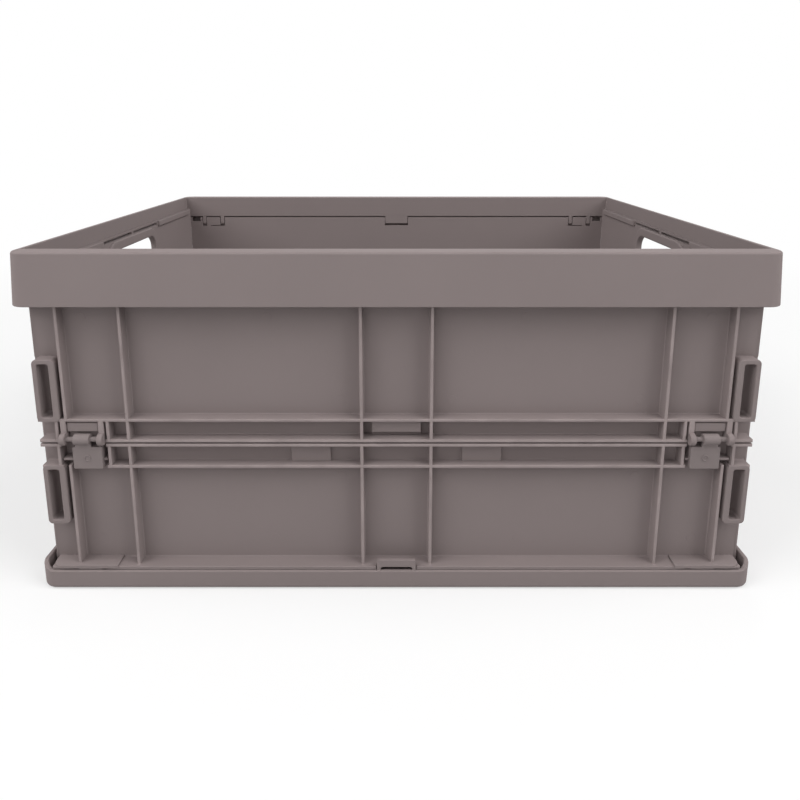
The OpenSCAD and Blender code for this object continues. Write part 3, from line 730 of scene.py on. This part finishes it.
@dataclass
class Rim:
    """The rim: a deep skirt, a top, an inner lip with a tab on each long side, and hinge lugs."""

    layout: Layout
    skirt: float = 2.4
    top: float = 3.5
    lip: float = 1.6
    lip_depth: float = 21.0
    end_width: float = 5.3
    corner: float = 11.0
    edge: float = 1.6
    fine: float = 0.5
    draft: float = 1.9
    grip_half: float = 62.0
    grip_rise: float = 9.4
    grip_ramp: float = 8.0
    opening_corner: float = 1.0
    corner_steps: int = 8
    side_steps: tuple[int, int] = (1, 80)
    tab_half: float = 12.5
    tab_below_axis: float = 1.0
    tab_lap: float = 1.0
    lug_lap: float = 0.5

    def ring(self, shell: Shell) -> None:
        """Lofts the ring through closed loops in plan that run round its section.

        A row of the section is a shift outwards and a height. The skirt's rows are shifts of the
        outer rectangle, and the lip's rows are shifts of the opening's rectangle. At the ends the
        skirt's foot rises over the hand hole, by a smooth step of the distance from its middle.
        """
        lay, e, d = self.layout, self.fine, self.draft
        top, foot, under = lay.height, lay.skirt_z, lay.height - self.top
        lip_z, back = lay.height - self.lip_depth, -self.skirt
        outside = np.vstack((
            bend((-e, foot + e), e, -90, 0), bend((-self.edge - d, top - self.edge), self.edge, 0, 90, 5),
        ))
        inside = np.vstack((
            bend((e, top - e), e, 90, 180), bend((e, lip_z + e), e, 180, 270),
            bend((self.lip - e, lip_z + e), e, 270, 360), bend((self.lip + e, under - e), e, 180, 90),
        ))
        behind = np.vstack((
            bend((back - e - d, under - e), e, 90, 0), bend((back + e, foot + e), e, 180, 270),
        ))

        def loops(rows: np.ndarray, half: Span, corner: float) -> np.ndarray:
            """Loops of a rectangle shifted outwards by each row's first value, at its height."""
            stack = []
            for out, z in rows:
                plan = rounded_rect(half[0] + out, half[1] + out, corner + out,
                                    self.corner_steps, self.side_steps)
                inside_ramp = self.grip_half + self.grip_ramp - np.abs(plan[:, 1])
                step = np.clip(inside_ramp / self.grip_ramp, 0.0, 1.0)
                step *= (np.abs(plan[:, 0]) > lay.half_len - self.corner) * (z <= foot + e)
                stack.append(np.column_stack((plan, z + self.grip_rise * step**2 * (3.0 - 2.0 * step))))
            return np.stack(stack)

        outer = lay.half_len, lay.half_dep
        opening = lay.half_len - self.end_width, lay.wall_in
        shell.loft(np.concatenate((
            loops(outside, outer, self.corner),
            loops(inside, opening, self.opening_corner),
            loops(behind, outer, self.corner),
        )), ring=True)

    def long_side(self, shell: Shell) -> None:
        """The lip's tab and the hinge lugs of the back side."""
        lay = self.layout
        lip_z = lay.height - self.lip_depth
        shell.box((-self.tab_half, self.tab_half), (lay.wall_in, lay.wall_in + self.lip),
                  (lay.rim_axis[1] - self.tab_below_axis, lip_z + self.tab_lap))
        reach = lay.height - self.top - lay.rim_axis[1] + self.lug_lap
        hanging = lug_outline(lay.barrel, reach) * (1.0, -1.0)
        for span in lay.lugs(lay.side_hinge):
            shell.prism(hanging[::-1], span, Axis.X, FINE_EDGE, lay.rim_axis)

    def build(self) -> None:
        """Builds the rim and puts it in place of its node."""
        shell = Shell("moulded_top_rim")
        self.long_side(shell)
        shell.turned(Turn.FRONT)
        self.long_side(shell)
        self.ring(shell)
        shell.build(CRATE_PLASTIC, "rim", "crate_plastic", ["top_rim"])


@dataclass
class BaseTray:
    """The tray: a floor, a lip that is higher at the ends, rails, hinge lugs, stops and two catches."""

    layout: Layout
    inset: float = 1.0
    floor: float = 2.2
    lip: float = 3.0
    lip_height: float = 13.5
    end_lip_height: float = 17.5
    corner: float = 10.0
    under_edge: float = 3.0
    lip_edge: float = 0.9
    fillet: float = 1.2
    rail_z: float = 7.16
    catch_half: float = 13.0
    catch_post: float = 2.4
    catch_rise: float = 7.6
    catch_slot: float = 2.5
    catch_corner: float = 1.5
    catch_lap: float = 0.4
    catch_behind: float = 0.6
    rail_gap: float = 0.1
    stop_gap: float = 0.5
    stop_short: float = 1.0
    stop_below: float = 0.1
    end_lug_edge: float = 0.2

    @property
    def inner_y(self) -> float:
        """Inner face of the lip on the long sides."""
        return self.layout.half_dep - self.inset - self.lip

    def tray(self, shell: Shell) -> None:
        """Lofts the tray through loops in plan, from the underside over the lip to the floor.

        A row is a shift outwards from the outer rectangle, a height, and how far the row takes part in
        the lip's rise: the height gains that share of the rise times the square of the outline's
        normal along the crate, so the lip climbs smoothly within each corner.
        """
        u, e, f = self.under_edge, self.lip_edge, self.fillet
        top, back = self.lip_height, -self.lip
        arcs = (
            (bend((-u, u), u, -90, 0, 5), 0.0), (bend((-e, top - e), e, 0, 90), 1.0),
            (bend((back + e, top - e), e, 90, 180), 1.0), (bend((back - f, self.floor + f), f, 0, -90), 0.0),
        )
        rows = np.vstack([np.column_stack((arc, np.full(len(arc), share))) for arc, share in arcs])
        half = self.layout.half_len - self.inset, self.layout.half_dep - self.inset
        loops = []
        for out, z, share in rows:
            plan = rounded_rect(half[0] + out, half[1] + out, self.corner + out, arc=12)
            ahead = np.roll(plan, -1, 0) - np.roll(plan, 1, 0)
            along = (ahead[:, 1] / np.linalg.norm(ahead, axis=1)) ** 2
            rise = share * along * (self.end_lip_height - self.lip_height)
            loops.append(np.column_stack((plan, z + rise)))
        shell.loft(np.stack(loops))

    def catch(self, shell: Shell) -> None:
        """The arch at the middle of the back lip: a rounded block with an arched slot through it."""
        half, inner, r = self.catch_half, self.catch_half - self.catch_post, self.catch_corner
        foot, top = self.lip_height - self.catch_lap, self.lip_height + self.catch_rise
        arch_z = self.lip_height + self.catch_slot - r
        outline = np.vstack((
            ((half, foot),), bend((half - r, top - r), r, 0, 90), bend((r - half, top - r), r, 90, 180),
            ((-half, foot), (-inner, foot)), bend((r - inner, arch_z), r, 180, 90),
            bend((inner - r, arch_z), r, 90, 0), ((inner, foot),),
        ))
        outer = self.layout.half_dep - self.inset - self.catch_behind
        shell.prism(outline[::-1, ::-1], (self.inner_y + LAP, outer), Axis.Y, FINE_EDGE)

    def long_side(self, shell: Shell) -> None:
        """The rail under the back wall, its lugs and its catch."""
        lay = self.layout
        end = lay.end_out - lay.end_thick
        shell.box((-end, end), (lay.wall_in + self.rail_gap, self.inner_y + LAP),
                  (self.floor - LAP, self.rail_z))
        lug = lug_outline(lay.barrel, lay.foot_axis[1] - self.rail_z + LAP)
        for span in lay.lugs(lay.side_hinge):
            shell.prism(lug, span, Axis.X, FINE_EDGE, lay.foot_axis)
        self.catch(shell)

    def end_side(self, shell: Shell) -> None:
        """The stop behind an end wall and its hinge lugs, drawn as at the back."""
        lay = self.layout
        wall = lay.half_len - self.inset - self.lip + LAP
        reach = lay.end_half - self.corner - self.stop_short
        axis, r, foot = lay.end_axis, lay.end_barrel, self.floor - LAP
        shell.box((-reach, reach), (lay.end_out + self.stop_gap, wall),
                  (foot, self.end_lip_height - self.stop_below))
        outline = np.vstack((
            ((wall, foot), (wall, axis[1] + r)), bend(axis, r, 90, 180, 8), ((axis[0] - r, foot),),
        ))
        for span in lay.lugs(lay.end_hinge):
            shell.prism(outline, span, Axis.X, self.end_lug_edge)

    def build(self) -> None:
        """Builds the tray and puts it in place of its node."""
        shell = Shell("moulded_base_tray")
        self.end_side(shell)
        shell.turned(Turn.FRONT)
        self.end_side(shell)
        shell.turned(Turn.LEFT)
        self.long_side(shell)
        shell.turned(Turn.FRONT)
        self.long_side(shell)
        self.tray(shell)
        shell.build(CRATE_PLASTIC, "base", "crate_plastic", ["base_tray"])


@dataclass
class LongWall:
    """A front or back wall: two ribbed panels, with the clips and pins that hinge them."""

    layout: Layout
    wall: str
    rib1_in: float = 17.6
    rib2_in: float = 57.1
    rib3: float = 22.5
    rib_lap: float = 3.0
    window_gap: float = 0.4
    ear: float = 3.6
    ear_round: float = 4.0
    plate_behind: float = 1.0
    seat_proud: float = 4.3
    seat_room: Span = (0.1, 1.0)
    plate_room: Span = (0.5, 1.0)
    tongue_half: float = 16.0
    tongue_rise: float = 2.6
    tongue_lap: float = 0.5
    tongue_slot: float = 3.0
    slot_back: Span = (0.05, 0.5)
    slot_lap: float = 0.3
    slot_edge: float = 0.1
    tongue_proud: float = 4.0
    block: Span = (43.2, 69.2)
    block_height: float = 15.0
    block_proud: float = 2.6
    block_below: float = 0.4
    pocket_width: float = 14.5
    pocket_height: float = 40.0
    pocket_border: Span = (4.0, 3.0)
    pocket_proud: float = 0.5
    pocket_edge: float = 0.6
    pocket_behind: float = 0.05
    skin_lap: float = 0.3
    ledge_z: Span = (14.1, 16.1)
    ledge_end: float = 0.2
    ledge_from: float = 186.3
    ledge_out: float = 3.2
    ledge_lap: float = 2.7
    ledge_clear: float = 13.4
    ledge_closed: float = 214.0
    ledge_drop: float = 0.45
    ledge_corner: float = 6.0
    ledge_step: float = 1.0
    ledge_lift: float = 0.6
    ledge_root: float = 0.5
    notch_reach: float = 3.8
    barrel_slit: float = 0.9
    slit_end: float = 3.0
    corner_notch: Span = (1.5, 11.0)
    corner_deep: float = 4.5
    tab_half: float = 13.0
    tab_room: float = 3.2
    clip_half: float = 9.5
    clip_shift: float = 2.4
    clip_thick: float = 2.0
    clip_room: float = 5.3
    clip_corner: float = 0.8
    clip_seat: float = 0.02
    stem_lap: float = 0.5
    bar: float = 1.6
    bar_rise: float = 5.0
    knuckle_half: float = 5.2
    knuckle: float = 3.5
    ring: Span = (1.4, 2.3)
    ring_rise: Span = (0.3, 0.45)
    ring_bevel: float = 0.2
    mark: float = 3.2
    mark_rise: float = 0.15
    mark_edge: float = 0.1
    mark_beside_rib: Span = (12.0, 14.0)
    mark_from_middle: float = 60.0
    upper_marks: Span = (186.0, 130.0)
    lower_marks: Span = (30.0, 76.0)

    @property
    def turn(self) -> Turn:
        """The turn that puts the wall into its place."""
        return Turn[self.wall.upper()]

    @property
    def half(self) -> float:
        """Half of the wall's length, with its ends brought close to the end walls."""
        return self.layout.wall_half + self.layout.seal

    def ribs(self, field_z: Span, band_z: Span) -> list[Raised]:
        """The upright ribs of a panel on both halves: of its large fields, and of its part of the band."""
        half, top = self.layout.rib / 2.0, self.layout.rib_y
        places = [(x, field_z) for x in self.uprights] + [(x, band_z) for x in self.webs]
        return [rib for x, z in places for rib in Raised((x - half, x + half), z, top).both()]

    def level(self, z: float, open_at_hinges: bool = True) -> list[Raised]:
        """A level rib over the whole wall, or one that leaves the windows of the middle hinges free."""
        span, top = (z, z + self.layout.rib), self.layout.rib_y
        if not open_at_hinges:
            return [Raised((-self.half, self.half), span, top)]
        low, high = self.window
        return [Raised((-low, low), span, top), *Raised((high, self.half), span, top).both()]

    @property
    def window(self) -> Span:
        """Bounds of a middle hinge's window along the wall."""
        reach = self.layout.mid_half + self.window_gap
        return self.layout.mid_hinge - reach, self.layout.mid_hinge + reach

    @property
    def uprights(self) -> tuple[float, float, float]:
        """Places of the upright ribs along a half of the wall."""
        return self.layout.wall_half - self.rib1_in, self.layout.wall_half - self.rib2_in, self.rib3

    @property
    def webs(self) -> list[float]:
        """Places of the ribs in the band: the two inner uprights and the webs beside a hinge."""
        low, high = self.window
        return [*self.uprights[1:], low - self.layout.rib, high + self.layout.rib]

    def pocket(self, shell: Shell, z: Span) -> list[Opening]:
        """A frame round a pocket on both halves: a ring with round corners and a window off its middle.

        Args:
            shell: The shell that gets the frames.
            z: Bounds of the frame in height.

        Returns:
            The openings that the wall's skin needs behind the frames.
        """
        lay, e, lap = self.layout, self.pocket_edge, self.skin_lap
        inner, outer = self.pocket_border
        x = self.half - self.pocket_width, self.half
        hole = (x[0] + inner, x[1] - outer), (z[0] + outer, z[1] - outer)
        top, foot = lay.rib_y + self.pocket_proud, lay.skin_y - lap
        outside = np.vstack(((0.0, foot), bend((-e, top - e), e, 0, 90)))
        inside = np.vstack((
            bend((e, top - e), e, 90, 180), (0.0, lay.wall_in + self.pocket_behind), (lap, foot),
        ))
        right = np.concatenate((
            wall_loops((x, z), outer, outside, arc=5), wall_loops(hole, outer / 2.0, inside, arc=5),
        ))[:, ::-1]
        shell.loft(right, ring=True)
        shell.loft((right * (-1.0, 1.0, 1.0))[:, ::-1], ring=True)
        return on_both_halves(*((low - LAP, high + LAP) for low, high in hole))

    def ears(self) -> list[Span]:
        """The two ears of the right middle hinge along the wall."""
        lay = self.layout
        low, high = lay.mid_hinge - lay.mid_half, lay.mid_hinge + lay.mid_half
        return [(low, low + self.ear), (high - self.ear, high)]

    def marks(self, shell: Shell, far: float, near: float) -> None:
        """Faint round ejector marks on the skin, on both halves, far from the middle hinges and near."""
        beside1, beside2 = self.mark_beside_rib
        places = [(self.uprights[0] - beside1, far), (self.uprights[1] - beside2, near),
                  (self.rib3 + self.mark_from_middle, far), (self.rib3 + beside2, near)]
        depth = self.layout.skin_y - self.skin_lap, self.layout.skin_y + self.mark_rise
        for x, z in places + [(-x, z) for x, z in places]:
            shell.prism(circle(self.mark, MARK_SIDES), depth, Axis.Y, self.mark_edge, (z, x))

    def panel(self, shell: Shell, part: str, z: Span, raised: list[Raised], openings: list[Opening]) -> None:
        """Adds the ribbed skin to a panel's shell, turns it, and puts it in place of its node.

        Args:
            shell: The shell, with the panel's other shapes.
            part: Upper or lower, as in the names of its node and body.
            z: Low and high end of the skin.
            raised: Its raised rectangles.
            openings: Its openings.
        """
        lay = self.layout
        # The ribs' front faces are lightened, partly as rubbed wear and partly as painted highlight
        Relief((-self.half, self.half), z, lay.wall_in, lay.skin_y, raised, openings,
               worn_and_lit=lay.rib_y).add_to(shell)
        shell.turned(self.turn)
        name = f"{self.wall}_{part}"
        shell.build(CRATE_PLASTIC, name, "crate_plastic", [f"{name}_panel"])

    def upper(self) -> None:
        """Builds the upper panel; a thin backing closes the slots beside its tongue."""
        lay = self.layout
        shell = Shell(f"moulded_{self.wall}_upper_panel")
        foot, band, skirt = lay.split_z + lay.split_gap, lay.band_top, lay.skirt_z + self.rib_lap
        plate = lay.rib_y - self.plate_behind
        raised = self.level(foot) + self.level(band - lay.rib, open_at_hinges=False)
        raised += self.ribs((band - lay.rib, skirt), (foot, band))
        for x in self.ears():
            raised += Raised(x, (foot, band), lay.rib_y).both()
            for side in mirrored([x]):
                shell.prism(circle(self.ear_round), side, Axis.X, centre=lay.mid_axis)
        (_, low), (high, _) = self.ears()
        between = low + self.window_gap, high - self.window_gap
        over_ear = lay.mid_axis[1] + self.ear_round
        under, over = self.plate_room
        raised += Raised(between, (over_ear + under, band - lay.rib - over), plate).both()
        under, over = self.seat_room
        raised += Raised(between, (foot + under, over_ear + over), lay.skin_y + self.seat_proud).both()
        tongue = lay.mid_axis[1] + self.tongue_rise
        raised.append(Raised((-self.tongue_half, self.tongue_half), (tongue, band - self.tongue_lap),
                             lay.skin_y + self.tongue_proud))
        openings = on_both_halves((self.tongue_half, self.rib3 - lay.rib / 2.0),
                                  (tongue - self.tongue_slot, band - lay.rib))
        lap, back = self.slot_lap, tuple(lay.wall_in + depth for depth in self.slot_back)
        for (x0, x1), (z0, z1) in openings:
            shell.box((x0 - lap, x1 + lap), back, (z0 - lap, z1 + lap), self.slot_edge, self.slot_edge)
        openings += self.pocket(shell, (band - lay.rib, band + self.pocket_height))
        rim_z = lay.rim_axis[1]
        notch_z = rim_z - self.notch_reach
        openings += lay.notches(lay.side_hinge, (notch_z, lay.wall_top))
        openings += on_both_halves(
            (lay.side_hinge - lay.barrel_half - lay.lug_gap, lay.side_hinge + self.slit_end),
            (notch_z, notch_z + self.barrel_slit),
        )
        openings.append(((-self.tab_half, self.tab_half), (rim_z - self.tab_room, lay.wall_top)))
        far, near = (self.half - reach for reach in self.corner_notch)
        openings += on_both_halves((near, far), (lay.wall_top - self.corner_deep, lay.wall_top))
        self.marks(shell, *self.upper_marks)
        lay.add_barrels(shell, lay.side_hinge, lay.rim_axis, lay.barrel)
        self.panel(shell, "upper", (foot, lay.wall_top), raised, openings)

    def ledge(self, shell: Shell) -> None:
        """The ledge at the foot, with wider ends whose outer corners are round."""
        lay = self.layout
        inner, outer = lay.skin_y - self.ledge_root, lay.rib_y + self.ledge_out
        end, r = lay.wall_half - self.ledge_end, self.ledge_corner
        wide = np.vstack((
            ((self.ledge_from, inner), (end, inner)), bend((end - r, outer - r), r, 0, 90, 6),
            ((self.ledge_from, outer),),
        ))
        z = self.ledge_z[0] + self.ledge_lift, self.ledge_z[1] + self.ledge_step
        shell.prism(wide, z, Axis.Z, FINE_EDGE)
        shell.prism((wide * (-1.0, 1.0))[::-1], z, Axis.Z, FINE_EDGE)

    def lower(self) -> None:
        """Builds the lower panel, with the small bars beside its clips."""
        lay = self.layout
        shell = Shell(f"moulded_{self.wall}_lower_panel")
        top, band = lay.split_z, lay.band_foot
        plate = lay.rib_y - self.plate_behind
        raised = self.level(top - lay.rib) + self.level(band)
        raised += self.ribs((self.ledge_z[0], band + lay.rib), (band, top))
        clip = lay.mid_hinge - self.clip_shift
        raised += Raised((clip - self.clip_half, clip + self.clip_half),
                         (band, lay.mid_axis[1] - self.clip_room), plate - self.clip_seat).both()
        low, high = self.window
        bar_z = band + self.bar_rise, band + self.bar_rise + self.bar
        for x in ((low, clip - self.clip_half), (clip + self.clip_half, high)):
            raised += Raised(x, bar_z, plate).both()
        raised += Raised(self.block, (top - self.block_height, top - self.block_below),
                         lay.skin_y + self.block_proud).both()
        end = lay.wall_half - self.ledge_end
        raised.append(Raised((-self.ledge_clear, self.ledge_clear), self.ledge_z, lay.rib_y))
        lap = lay.rib_y + self.ledge_lap
        raised += Raised((self.ledge_clear, end), self.ledge_z, lap).both()
        raised += Raised((self.ledge_clear, self.ledge_closed),
                         (self.ledge_z[0] - self.ledge_drop, self.ledge_z[1]), lap).both()
        openings = self.pocket(shell, (band - self.pocket_height, band + lay.rib))
        openings += lay.notches(lay.side_hinge, (lay.wall_foot, lay.foot_axis[1] + self.notch_reach))
        self.ledge(shell)
        self.marks(shell, *self.lower_marks)
        lay.add_barrels(shell, lay.side_hinge, lay.foot_axis, lay.barrel)
        self.panel(shell, "lower", (lay.wall_foot, top), raised, openings)

    def clip(self, x_sign: int, node: str) -> None:
        """Builds a hinge clip: a plate with a ring mark, and a knuckle on a stem.

        Args:
            x_sign: The half of the wall that it lies on, drawn as the back wall.
            node: The node that it stands for.
        """
        lay = self.layout
        shell = Shell(f"moulded_{node}")
        seat = lay.rib_y - self.plate_behind
        face = seat + self.clip_thick
        z = lay.band_foot, lay.mid_axis[1] - self.clip_room
        middle = (z[0] + z[1]) / 2.0, x_sign * (lay.mid_hinge - self.clip_shift)
        plate = rounded_rect((z[1] - z[0]) / 2.0, self.clip_half, self.clip_corner, arc=4)
        shell.prism(plate, (seat, face), Axis.Y, centre=middle)
        (inner, outer), (side, top), bevel = self.ring, self.ring_rise, self.ring_bevel
        rows = np.array(((outer, -LAP), (outer, side), (outer - bevel, top),
                         (inner + bevel, top), (inner, side), (inner, -LAP)))
        around = rows[:, 0, None, None] * circle(1.0, MARK_SIDES) + np.array(middle)
        depth = np.broadcast_to(face + rows[:, 1, None], around.shape[:2])
        shell.loft(np.stack((around[..., 1], depth, around[..., 0]), axis=-1), ring=True)
        hinge = x_sign * lay.mid_hinge
        span = hinge - self.knuckle_half, hinge + self.knuckle_half
        shell.prism(circle(self.knuckle), span, Axis.X, centre=lay.mid_axis)
        shell.box(span, (seat, face), (z[1] - self.stem_lap, lay.mid_axis[1]))
        shell.turned(self.turn)
        shell.build(HINGE_PLASTIC, f"{self.wall}_lower", "hinge_plastic", [node])

    def build(self) -> None:
        """Builds the two panels and their clips."""
        self.upper()
        self.lower()
        for side in ("left", "right"):
            sign = (1 if side == "right" else -1) * (1 if self.turn is Turn.BACK else -1)
            self.clip(sign, f"{self.wall}_{side}_hinge_clip")


@dataclass
class EndWall:
    """An end wall: a panel with sunk fields outside, a bordered hand hole and a bead along the top."""

    layout: Layout
    side: str
    sunk: float = 1.4
    hole_half: Span = (48.0, 18.4)
    hole_drop: float = 11.7
    hole_corner: float = 12.0
    grip: float = 8.0
    grip_proud: float = 2.0
    grip_edge: float = 1.3
    grip_behind: float = 0.1
    grip_lap: float = 1.0
    hole_edge: float = 0.4
    bead: float = 2.0
    bead_height: float = 5.0
    bead_start: float = 4.0
    bead_end: float = 8.0
    bead_lap: float = 0.4
    bead_edge: float = 0.6
    border: float = 9.0
    fields: int = 3
    field_low: float = 13.0
    field_gap: float = 2.0
    slit: Span = (2.0, 58.0)
    slit_drop: Span = (1.2, 3.4)
    foot: float = 0.3
    notch_reach: float = 3.2

    def hand_hole(self, shell: Shell, middle: float) -> None:
        """The border round the hand hole: a ring lofted through loops with round corners.

        Args:
            shell: The shell that gets it.
            middle: Height of the hole's middle.
        """
        e, h = self.grip_edge, self.hole_edge
        outer = self.layout.end_out - self.grip_behind
        inner = self.layout.end_out - self.layout.end_thick - self.grip_proud
        border = np.vstack(((0.0, outer - self.grip_lap), bend((-e, inner + e), e, 0, -90, 4)))
        hole = np.vstack((bend((e, inner + e), e, -90, -180, 4), bend((h, outer - h), h, 180, 90)))
        shell.loft(np.concatenate((
            wall_loops(self.grown(middle, self.grip), self.hole_corner + self.grip, border, arc=8),
            wall_loops(self.grown(middle, 0.0), self.hole_corner, hole, arc=8),
        )), ring=True)

    def grown(self, middle: float, by: float) -> Opening:
        """Bounds of the hand hole about its middle height, grown on all sides."""
        x, z = self.hole_half[0] + by, self.hole_half[1] + by
        return (-x, x), (middle - z, middle + z)

    def build(self) -> None:
        """Builds the end wall, drawn as at the back, and puts it in place of its node."""
        lay = self.layout
        shell = Shell(f"moulded_{self.side}_end_wall")
        inner, half = lay.end_out - lay.end_thick, lay.end_half + lay.seal
        z = lay.end_axis[1] + self.foot, lay.end_top
        middle = lay.end_top - self.hole_drop - self.hole_half[1]
        self.hand_hole(shell, middle)
        field_z = lay.end_axis[1] + self.field_low, middle - self.hole_half[1] - self.grip - self.field_gap
        width = (2.0 * lay.end_half - (self.fields + 1) * self.border) / self.fields
        raised = [Raised((-half, half), (z[0], field_z[0]), lay.end_out),
                  Raised((-half, half), (field_z[1], z[1]), lay.end_out)]
        for k in range(self.fields + 1):
            start = -lay.end_half + k * (width + self.border)
            raised.append(Raised((start, start + self.border), z, lay.end_out))
        over, under = self.slit_drop
        openings = [self.grown(middle, self.grip_lap)]
        openings += on_both_halves(self.slit, (z[1] - under, z[1] - over))
        openings += lay.notches(lay.end_hinge, (z[0], lay.end_axis[1] + self.notch_reach))
        # The raised faces get a faint lightening, partly as rubbed wear and partly as painted highlight
        Relief((-half, half), z, inner, lay.end_out - self.sunk, raised, openings,
               worn_and_lit=lay.end_out + self.sunk / 2.0).add_to(shell)
        bead = self.hole_half[0] + self.grip + self.bead_start, lay.end_half - self.bead_end
        for x in mirrored([bead]):
            shell.box(x, (inner - self.bead, inner + self.bead_lap), (z[1] - self.bead_height, z[1]),
                      self.bead_edge, self.bead_edge)
        lay.add_barrels(shell, lay.end_hinge, lay.end_axis, lay.end_barrel)
        shell.turned(Turn[self.side.upper()])
        shell.build(CRATE_PLASTIC, f"{self.side}_end", "crate_plastic", [f"{self.side}_end_wall"])


@dataclass
class HingePins:
    """All the hinge pins: round rods with domed ends that show a little past what carries them."""

    bodies: dict[str, str]
    dome: float = 0.5
    proud: float = 0.15

    def build(self) -> None:
        """Builds each pin from its node's box, along the box's longest side."""
        for node, body in self.bodies.items():
            low, high = node_box(node)
            axis = int(np.argmax(high - low))
            across = [(axis + 1) % 3, (axis + 2) % 3]
            radius = (high - low)[across[0]] / 2.0
            centre = tuple(((low + high) / 2.0)[across].tolist())
            shell = Shell(f"turned_{node}")
            shell.prism(circle(radius), (low[axis] - self.proud, high[axis] + self.proud),
                        Axis(axis + 1), self.dome, centre, steps=4)
            shell.build(HINGE_PLASTIC, body, "hinge_plastic", [node])


def pin_bodies() -> dict[str, str]:
    """The body that each pin's node rides on, from the record."""
    bodies = frame["record"]["behaviour"]["bodies"]
    return {node: body for body, nodes in bodies.items() for node in nodes if node.endswith("_pin")}


def main() -> None:
    """Builds the studio and the crate's parts."""
    logging.basicConfig(level=logging.INFO, format="%(name)s: %(message)s")
    Studio().build()
    layout = Layout.from_frame()
    Rim(layout).build()
    BaseTray(layout).build()
    for wall in ("front", "back"):
        LongWall(layout, wall).build()
    for side in ("left", "right"):
        EndWall(layout, side).build()
    HingePins(pin_bodies()).build()


if __name__ == "__main__":
    main()
